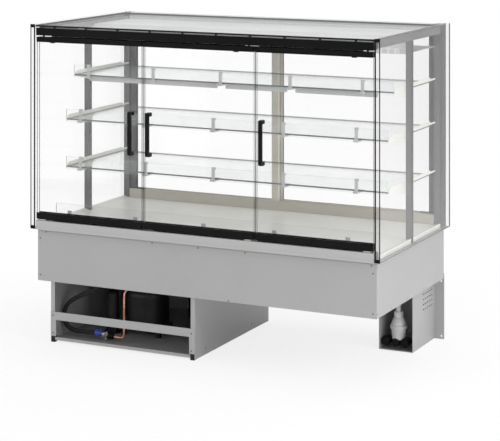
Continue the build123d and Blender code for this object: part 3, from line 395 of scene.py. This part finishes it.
door_lo, door_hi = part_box("door_1_glass")
pane = 0.004
door_cavity = (door_lo.y + pane + 0.0001, door_hi.y - pane - 0.0001)
track_lo, track_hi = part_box("rear_tracks")
track_middle = (track_lo.z + track_hi.z) / 2
finishes = {
    "stainless": grained_steel("stainless", (0.44, 0.44, 0.44), (0.42, 0.42, 0.418), (1, 1, 0.02)),
    # The sill and counter flange get the tub's steel in a lighter tone: a painted sheen that makes them read
    # lighter than the tub front under the same light.
    "sill_steel_painted_sheen": grained_steel("sill_steel_painted_sheen", (0.50, 0.50, 0.50), (0.475, 0.475, 0.47), (0.02, 1, 1)),
    "inner_steel": grained_steel("inner_steel", (0.62, 0.62, 0.61), (0.57, 0.57, 0.56), (0.02, 1, 1)),
    "bracket_coat": coated_metal("bracket_coat", (0.82, 0.81, 0.77), (0.76, 0.75, 0.71), 0.45),
    "side_pane": clear_sheet("side_pane", (0.998, 0.998, 0.998), (0.012, 0.012, 0.012), "X", pale_top=True),
    "door_pane": clear_sheet("door_pane", (0.998, 0.998, 0.998), (0.02, 0.02, 0.02), "Y", gap=door_cavity),
    "rear_pane": clear_sheet("rear_pane", (0.996, 0.996, 0.996), (0.05, 0.05, 0.05), "Y"),
    "top_pane": clear_sheet("top_pane", (0.98, 0.984, 0.983), (0.012, 0.014, 0.013), "Z", reflect=0.25),
    "shelf_pane": clear_sheet("shelf_pane", (0.97, 0.975, 0.974), (0.18, 0.20, 0.19), "Z", haze=0.10),
    "lip_pane": clear_sheet("lip_pane", (0.985, 0.987, 0.987), (0.50, 0.52, 0.52), "Y", haze=0.05),
    "clear_spacer": clear_sheet("clear_spacer", (0.99, 0.99, 0.99), (0.7, 0.7, 0.7), "X", 0.06, haze=0.03),
    "black_profile": coated_metal(
        "black_profile", (0.008, 0.008, 0.008), (0.005, 0.005, 0.005), 0.4, specular=0.08
    ),
    "black_plastic": moulded_plastic(
        "black_plastic", (0.008, 0.008, 0.008), (0.004, 0.004, 0.004), 0.42, specular=0.1
    ),
    "grey_profile": coated_metal("grey_profile", (0.20, 0.20, 0.20), (0.17, 0.17, 0.17), 0.45, specular=0.3),
    "cream_profile": two_tone("cream_profile", (0.70, 0.67, 0.60), (0.12, 0.12, 0.12), rear_frame_split),
    "track_profile": two_tone("track_profile", (0.58, 0.55, 0.49), (0.62, 0.62, 0.62), upper_track),
    "white_nylon": moulded_plastic("white_nylon", (0.80, 0.80, 0.78), (0.70, 0.70, 0.68), 0.5),
    "white_coat": coated_metal("white_coat", (0.84, 0.83, 0.79), (0.78, 0.77, 0.73), 0.38),
    "grey_coat": coated_metal("grey_coat", (0.60, 0.60, 0.60), (0.54, 0.54, 0.54), 0.4),
    "lamp_cover": lamp_lens("lamp_cover", (1.0, 0.98, 0.95), 0.12),
    "beige_plastic": moulded_plastic(
        "beige_plastic", (0.50, 0.46, 0.39), (0.44, 0.40, 0.34), 0.5, specks=0.2
    ),
    "galvanised": spangled_zinc("galvanised"),
    "coil_fins": fin_stack("coil_fins"),
    "black_coat": coated_metal(
        "black_coat", (0.014, 0.014, 0.015), (0.008, 0.008, 0.008), 0.32, 0.00006, 0.25
    ),
    "black_rubber": ribbed_rubber("black_rubber"),
    "copper": tarnished_copper("copper"),
    "valve_metal": grained_steel("valve_metal", (0.62, 0.60, 0.57), (0.45, 0.43, 0.40), (1, 1, 1), 0.3, 0.9),
    "grey_plastic": moulded_plastic("grey_plastic", (0.38, 0.38, 0.38), (0.33, 0.33, 0.33), 0.4, specks=0.15),
    "blue_plastic": moulded_plastic("blue_plastic", (0.06, 0.09, 0.55), (0.04, 0.06, 0.40), 0.4),
    "screw_steel": grained_steel("screw_steel", (0.20, 0.20, 0.20), (0.14, 0.14, 0.14), (1, 1, 1), 0.4, 0.8),
    "pale_plastic": moulded_plastic("pale_plastic", (0.62, 0.62, 0.62), (0.56, 0.56, 0.56), 0.4, specks=0.1),
    "pale_screw": coated_metal("pale_screw", (0.36, 0.36, 0.36), (0.30, 0.30, 0.30), 0.4),
    "door_seal": moulded_plastic(
        "door_seal", (0.010, 0.010, 0.010), (0.006, 0.006, 0.006), 0.6, specular=0.1
    ),
}

slot_of = {entry["node"]: entry["material_slot"] for entry in frame["record"]["subparts"]}
special = {
    "rear_door_left_frame": "cream_profile",
    "rear_door_right_frame": "cream_profile",
    "rear_tracks": "track_profile",
    "shelf_profile": "grey_coat",
    "front_sill": "sill_steel_painted_sheen",
    "top_rim": "sill_steel_painted_sheen",
    "unit_panels": "stainless",
    "unit_frame": "stainless",
    "side_glass_left": "side_pane",
    "side_glass_right": "side_pane",
    "glass_top": "top_pane",
    "shelf_lips": "lip_pane",
    "deck_lip": "lip_pane",
}
for number in (1, 2, 3):
    special[f"door_{number}_glass"] = "door_pane"
    special[f"shelf_{number}_glass"] = "shelf_pane"
    special[f"shelf_{number}_brackets"] = "bracket_coat"
for side in ("left", "right"):
    special[f"rear_door_{side}_glass"] = "rear_pane"

for name, node in frame["nodes"].items():
    finish = finishes[special.get(name, slot_of[name])]
    node.data.materials.clear()
    node.data.materials.append(finish)


# Ways to model a piece by hand
def select_only(piece):
    """Makes a piece the only one selected, or deselects all when there is none."""
    bpy.ops.object.select_all(action="DESELECT")
    if piece:
        piece.select_set(True)
        bpy.context.view_layer.objects.active = piece


def settle(piece, name, finish, body="case"):
    """Names a piece, keeps its place in its mesh, gives it its finish and lets it ride on a body."""
    select_only(piece)
    bpy.ops.object.transform_apply(location=True, rotation=True, scale=True)
    piece.name = name
    piece.data.name = name
    piece.data.materials.clear()
    piece.data.materials.append(finishes[finish])
    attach(piece, body)
    return piece


def join(pieces):
    """Joins pieces into the first of them."""
    select_only(pieces[0])
    for piece in pieces[1:]:
        piece.select_set(True)
    if len(pieces) > 1:
        bpy.ops.object.join()
    return pieces[0]


def bar(low, high, bevel=0.0006):
    """A straight bar between two corners, with its edges eased."""
    select_only(None)
    middle = [(a + b) / 2 for a, b in zip(low, high)]
    bpy.ops.mesh.primitive_cube_add(size=1, location=middle)
    piece = bpy.context.object
    piece.scale = [b - a for a, b in zip(low, high)]
    bpy.ops.object.transform_apply(location=True, rotation=True, scale=True)
    bpy.ops.object.mode_set(mode="EDIT")
    bpy.ops.mesh.select_all(action="SELECT")
    bpy.ops.mesh.bevel(offset=bevel, segments=2)
    bpy.ops.object.mode_set(mode="OBJECT")
    return piece


def turned(outline, place, axis="Z", sides=40):
    """A turned piece: a disc drawn out through (distance, radius) steps along its axis."""
    select_only(None)
    first_step, first_radius = outline[0]
    bpy.ops.mesh.primitive_circle_add(vertices=sides, radius=1, fill_type="NGON", location=(0, 0, 0))
    piece = bpy.context.object
    bpy.ops.object.mode_set(mode="EDIT")
    bpy.ops.mesh.select_all(action="SELECT")
    bpy.ops.transform.resize(value=(first_radius,) * 3, center_override=(0, 0, 0))
    bpy.ops.transform.translate(value=(0, 0, first_step))
    level, radius = first_step, first_radius
    for step, width in outline[1:]:
        bpy.ops.mesh.extrude_region_move(TRANSFORM_OT_translate={"value": (0, 0, step - level)})
        ratio = width / radius
        bpy.ops.transform.resize(value=(ratio, ratio, 1), center_override=(0, 0, step))
        level, radius = step, width
    bpy.ops.mesh.select_all(action="SELECT")
    bpy.ops.mesh.normals_make_consistent(inside=False)
    bpy.ops.object.mode_set(mode="OBJECT")
    bpy.ops.object.shade_smooth_by_angle(angle=math.radians(35))
    if axis == "Y":
        piece.rotation_euler = (math.radians(-90), 0, 0)
    if axis == "X":
        piece.rotation_euler = (0, math.radians(90), 0)
    piece.location = place
    bpy.ops.object.transform_apply(location=True, rotation=True, scale=True)
    return piece


def tube(points, radius, smooth=True):
    """A round tube through points, curved between them."""
    select_only(None)
    bpy.ops.curve.primitive_nurbs_path_add(location=(0, 0, 0))
    path = bpy.context.object
    path.data.splines.clear()
    spline = path.data.splines.new("NURBS" if smooth else "POLY")
    spline.points.add(len(points) - 1)
    for point, place in zip(spline.points, points):
        point.co = (*place, 1)
    spline.use_endpoint_u = True
    spline.order_u = 3
    spline.resolution_u = 10
    path.data.bevel_depth = radius
    path.data.bevel_resolution = 6
    path.data.use_fill_caps = True
    bpy.ops.object.convert(target="MESH")
    return bpy.context.object


# Counter flange and front sill: thinner at the flange than the solids, as the photograph has them
flange_sheet = 0.0025
flange_bottom = rim_hi.z - flange_sheet
band_bottom = rim_lo.z - 0.0005
tub_opening = 0.04
band_width = 0.03


def frame_bars(low, high, bottom, top, inset):
    """Four bars that frame an opening which stands a given distance inside the tub's outline."""
    hole_lo = (tub_lo.x + inset, tub_lo.y + inset)
    hole_hi = (tub_hi.x - inset, tub_hi.y - inset)
    return [
        bar((low.x, low.y, bottom), (high.x, hole_lo[1], top)),
        bar((low.x, hole_hi[1], bottom), (high.x, high.y, top)),
        bar((low.x, hole_lo[1], bottom), (hole_lo[0], hole_hi[1], top)),
        bar((hole_hi[0], hole_lo[1], bottom), (high.x, hole_hi[1], top)),
    ]


rim_pieces = frame_bars(rim_lo, rim_hi, flange_bottom, rim_hi.z, tub_opening)
counter_rim = settle(join(rim_pieces), "counter_rim", "sill_steel_painted_sheen")
band_pieces = frame_bars(tub_lo, tub_hi, band_bottom, flange_bottom, band_width)
settle(join(band_pieces), "tub_band", "stainless")
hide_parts("top_rim")

sill_sheet = 0.002
sill_fold = rim_hi.z + 0.0095
sill_step = front + 0.0005
sill_ease = 0.0003
sill_left = sill_lo.x
sill_right = sill_hi.x
sill_pieces = [
    bar((sill_left, front, flange_bottom), (sill_right, front + sill_sheet, sill_fold), sill_ease),
    bar((sill_left, sill_step, sill_fold), (sill_right, sill_step + sill_sheet, sill_hi.z), sill_ease),
    bar((sill_left, sill_step, sill_hi.z - sill_sheet), sill_hi),
    bar((sill_left, sill_hi.y - sill_sheet, rim_hi.z), sill_hi, sill_ease),
]
sill_cover = settle(join(sill_pieces), "sill_cover", "sill_steel_painted_sheen")
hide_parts("front_sill")

# Dark strips in the slits above and below the doors; their gaps leave room for the heels of the turning doors
wiper_front = front + 0.0295
wiper_back = front + 0.0315
header_wiper_height = 0.011
sill_wiper_height = 0.0095


def wipers(spans, bottom, top):
    return join([bar((start, wiper_front, bottom), (end, wiper_back, top)) for start, end in spans])


header_spans = [(-0.672, 0.190), (0.250, 0.672)]
sill_spans = [(-0.664, -0.236), (-0.206, 0.186), (0.246, 0.666)]
header_strips = wipers(header_spans, header_lo.z - header_wiper_height, header_lo.z)
settle(header_strips, "header_wipers", "door_seal")
sill_strips = wipers(sill_spans, sill_hi.z, sill_hi.z + sill_wiper_height)
settle(sill_strips, "sill_wipers", "door_seal")

# Black edge bands on the front edges of the side panes
band_front = front - 0.0009
band_back = front + 0.0002
band_ease = 0.0002
band_end_gap = 0.013
inner_pane = 0.0058
outer_pane = (0.7462, 0.7500)
band_foot = rim_hi.z + band_end_gap
band_head = glass_left_hi.z - band_end_gap
edge_bands = []
for side in (-1, 1):
    inner_face = glass_right_lo.x if side > 0 else -glass_left_hi.x
    for near, far in ((inner_face, inner_face + inner_pane), outer_pane):
        low_x, high_x = sorted((side * near, side * far))
        edge_bands.append(bar((low_x, band_front, band_foot), (high_x, band_back, band_head), band_ease))
settle(join(edge_bands), "glass_edge_bands", "black_plastic")

# Bottle trap: cup, collar, cone, union ring and drain pipe, as (height, radius) from the bottom up
trap_x = 0.614
trap_y = front + 0.545
trap_outline = [
    (0.034, 0.020),
    (0.040, 0.0262),
    (0.072, 0.0285),
    (0.080, 0.0290),
    (0.081, 0.0335),
    (0.094, 0.0335),
    (0.095, 0.0290),
    (0.104, 0.0280),
    (0.124, 0.0195),
    (0.125, 0.0180),
    (0.131, 0.0180),
    (0.132, 0.0190),
    (0.138, 0.0190),
    (0.139, 0.0178),
    (0.146, 0.0178),
    (0.147, 0.0100),
    (0.2445, 0.0100),
]
trap = settle(turned(trap_outline, (trap_x, trap_y, 0), sides=56), "drain_trap", "pale_plastic")
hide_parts("bottle_trap")

# Cable glands that point forwards, each a cap, a wider nut and a body, with twelve flats
gland_y = front + 0.512
gland_outline = [
    (0, 0.0120),
    (0.002, 0.0150),
    (0.012, 0.0155),
    (0.0125, 0.0185),
    (0.024, 0.0185),
    (0.0245, 0.0155),
    (0.046, 0.0155),
]
gland_places = [(0.568, gland_y, 0.031), (0.611, gland_y, 0.030), (0.650, gland_y, 0.031)]
glands = [turned(gland_outline, place, axis="Y", sides=12) for place in gland_places]
gland_set = settle(join(glands), "gland_set", "black_plastic")
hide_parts("cable_glands")

# Suction hose, its blue clip, the shut-off valve and the liquid pipe
run_y = front + 0.112
hose_points = [
    (-0.452, run_y + 0.02, 0.2445),
    (-0.480, run_y + 0.01, 0.232),
    (-0.540, run_y, 0.201),
    (-0.615, run_y, 0.163),
    (-0.652, run_y, 0.135),
    (-0.664, run_y, 0.088),
    (-0.650, run_y, 0.048),
    (-0.612, run_y, 0.034),
    (-0.570, run_y, 0.035),
    (-0.512, run_y, 0.036),
    (-0.488, run_y, 0.036),
]
hose_radius = 0.0088
hose = settle(tube(hose_points, hose_radius), "hose", "black_rubber")
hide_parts("suction_hose")
clip_band = [(0, 0.0098), (0.001, 0.0106), (0.030, 0.0106), (0.031, 0.0098)]
ear_front = run_y - 0.004
ear_back = run_y + 0.004
clip = [
    turned(clip_band, (-0.514, run_y, 0.036), "X", 28),
    bar((-0.510, ear_front, 0.044), (-0.503, ear_back, 0.052), 0.001),
    bar((-0.494, ear_front, 0.044), (-0.487, ear_back, 0.052), 0.001),
]
settle(join(clip), "hose_clip", "blue_plastic")
valve_body = [(0, 0.0070), (0.004, 0.0090), (0.022, 0.0090), (0.026, 0.0070), (0.030, 0.0070)]
valve_stem = [(0, 0.0055), (0.002, 0.0065), (0.016, 0.0065), (0.018, 0.0050)]
lever_points = [
    (-0.476, run_y - 0.012, 0.026),
    (-0.468, run_y - 0.013, 0.036),
    (-0.452, run_y - 0.014, 0.050),
]
lever_radius = 0.0035
valve = [
    turned(valve_body, (-0.486, run_y, 0.035), "X", 28),
    turned(valve_stem, (-0.468, run_y, 0.014), "Z", 24),
    tube(lever_points, lever_radius, smooth=False),
]
valve_piece = settle(join(valve), "shut_off_valve", "valve_metal")
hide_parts("service_valve")
nut_outline = [(0, 0.0100), (0.002, 0.0125), (0.020, 0.0125), (0.024, 0.0090), (0.028, 0.0060)]
nut = turned(nut_outline, (-0.456, run_y, 0.031), "X", 16)
settle(nut, "valve_nut", "black_plastic")
pipe_points = [
    (-0.430, run_y, 0.030),
    (-0.408, run_y, 0.028),
    (-0.386, run_y, 0.032),
    (-0.3835, run_y, 0.056),
    (-0.3835, run_y, 0.130),
    (-0.3835, run_y, 0.190),
    (-0.382, run_y + 0.002, 0.214),
    (-0.364, run_y + 0.02, 0.226),
    (-0.340, run_y + 0.05, 0.228),
]
pipe_radius = 0.0045
pipe = settle(tube(pipe_points, pipe_radius), "liquid_pipe", "copper")
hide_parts("copper_pipe")

# Screws: plain domed heads, where the photograph shows them on the front and the right side
head_radius = 0.0032


def screw(place, facing):
    """A low domed screw head that stands on a face looking to the front, the right or the left."""
    outline = [
        (0, head_radius),
        (-0.0006, head_radius),
        (-0.0013, head_radius * 0.75),
        (-0.0015, head_radius * 0.3),
    ]
    if facing == "front":
        return turned(outline, place, "Y", 14)
    if facing == "left":
        return turned(outline, place, "X", 14)
    return turned([(-step, width) for step, width in outline], place, "X", 14)


tub_screws = [
    (-0.6903, 0.4415),
    (-0.7173, 0.4149),
    (-0.7173, 0.2679),
    (-0.2072, 0.4396),
    (-0.0071, 0.4388),
    (0.1935, 0.4385),
    (0.7077, 0.4390),
    (0.7135, 0.4109),
    (0.7135, 0.2628),
    (0.1238, 0.2500),
]
unit_screws = [(-0.6687, 0.1063), (-0.6687, 0.0362), (-0.0441, 0.1018), (-0.0441, 0.0349)]
unit_side_screws = [(0.5445, 0.0264), (0.1296, 0.0260)]
heads = [screw((x, tub_lo.y, z), "front") for x, z in tub_screws]
heads += [screw((x, unit_frame_lo.y, z), "front") for x, z in unit_screws]
heads += [screw((unit_hi.x, front + depth, z), "right") for depth, z in unit_side_screws]
settle(join(heads), "dark_screws", "screw_steel")

# Pale screws along the tub's sides, as (depth, height); the left side mirrors the right
side_spots = [(0.030, 0.432), (0.030, 0.350), (0.030, 0.262)]
side_spots += [(0.170, 0.441), (0.340, 0.441), (0.520, 0.441), (0.740, 0.420)]
side_spots += [(0.170, 0.252), (0.340, 0.252), (0.520, 0.252)]
pale = [screw((tub_hi.x, front + depth, z), "right") for depth, z in side_spots]
pale += [screw((tub_lo.x, front + depth, z), "left") for depth, z in side_spots]
settle(join(pale), "pale_screws", "pale_screw")


# Stage, lights and camera
def area_light(name, place, aim, size, power, colour=(1, 1, 1)):
    light = bpy.data.lights.new(name, "AREA")
    light.shape = "RECTANGLE"
    light.size, light.size_y = size
    light.energy = power
    light.color = colour
    lamp = bpy.data.objects.new(name, light)
    bpy.context.scene.collection.objects.link(lamp)
    lamp.location = place
    lamp.rotation_euler = (Vector(aim) - Vector(place)).to_track_quat("-Z", "Y").to_euler()
    return lamp


area_light("key_light", (-3.2, -3.4, 4.2), (0, 0, 0.6), (3.0, 3.0), 30)
area_light("right_light", (4.6, -0.8, 2.6), (0, 0, 0.6), (2.4, 3.0), 110)
area_light("low_light", (3.6, -2.6, 0.7), (0, -0.2, 0.15), (1.6, 1.0), 22)
area_light("fill_light", (-2.2, -3.2, 0.5), (-0.3, 0, 0.15), (1.4, 0.8), 4)
area_light("top_light", (0, 0.6, 4.6), (0, 0, 0.6), (4.0, 3.0), 60)

bpy.ops.mesh.primitive_plane_add(size=60, location=(0, 0, 0))
floor = bpy.context.object
floor.name = "studio_floor"
paper = Shader("studio_paper")
matt = paper.make(
    "ShaderNodeBsdfPrincipled",
    Base_Color=paper.blend(paper.noise(1.5), (0.93, 0.93, 0.93), (0.95, 0.95, 0.95)),
    Roughness=0.8 + paper.noise(3) * 0.1,
)
white = paper.make("ShaderNodeEmission", Color=(1, 1, 1, 1), Strength=1.0)
distance = (paper.axis("X") * paper.axis("X") + paper.axis("Y") * paper.axis("Y")).power(0.5)
seen = paper.value(paper.make("ShaderNodeLightPath").outputs["Is Camera Ray"])
fade = seen * (0.8 + distance.ramp(0.7, 1.9) * 0.2)
paper.tree.links.new(paper.layered(fade, matt, white).outputs[0], paper.output.inputs["Surface"])
floor.data.materials.append(paper.material)

world = bpy.data.worlds.new("studio")
bpy.context.scene.world = world
world.use_nodes = True
sky = world.node_tree
sky.nodes.clear()
sky_out = sky.nodes.new("ShaderNodeOutputWorld")
backdrop = sky.nodes.new("ShaderNodeBackground")
backdrop.inputs["Color"].default_value = (1, 1, 1, 1)
backdrop.inputs["Strength"].default_value = 1.0
unseen = sky.nodes.new("ShaderNodeBackground")
unseen.inputs["Color"].default_value = (1, 1, 1, 1)
unseen.inputs["Strength"].default_value = 0.55
path = sky.nodes.new("ShaderNodeLightPath")
chosen = sky.nodes.new("ShaderNodeMixShader")
direct = path.outputs["Is Camera Ray"]
for ray in ("Is Transmission Ray", "Is Glossy Ray"):
    either = sky.nodes.new("ShaderNodeMath")
    either.operation = "MAXIMUM"
    sky.links.new(direct, either.inputs[0])
    sky.links.new(path.outputs[ray], either.inputs[1])
    direct = either.outputs[0]
sky.links.new(direct, chosen.inputs[0])
sky.links.new(unseen.outputs[0], chosen.inputs[1])
sky.links.new(backdrop.outputs[0], chosen.inputs[2])
sky.links.new(chosen.outputs[0], sky_out.inputs["Surface"])

camera_data = bpy.data.cameras.new("photo_camera")
camera_data.sensor_width = 36
camera_data.lens = 127.53
# The photograph's upright lines are parallel, so the camera looks level and its view is shifted down
camera_data.shift_y = -0.6899
camera = bpy.data.objects.new("photo_camera", camera_data)
bpy.context.scene.collection.objects.link(camera)
camera.location = (3.1147, -6.3802, 1.8663)
camera.rotation_euler = (math.radians(90), 0, math.radians(25.68))
bpy.context.scene.camera = camera
bpy.context.scene.view_settings.view_transform = "Standard"
# The view passes through many clear faces, more than the usual limit allows
bpy.context.scene.cycles.transparent_max_bounces = 48
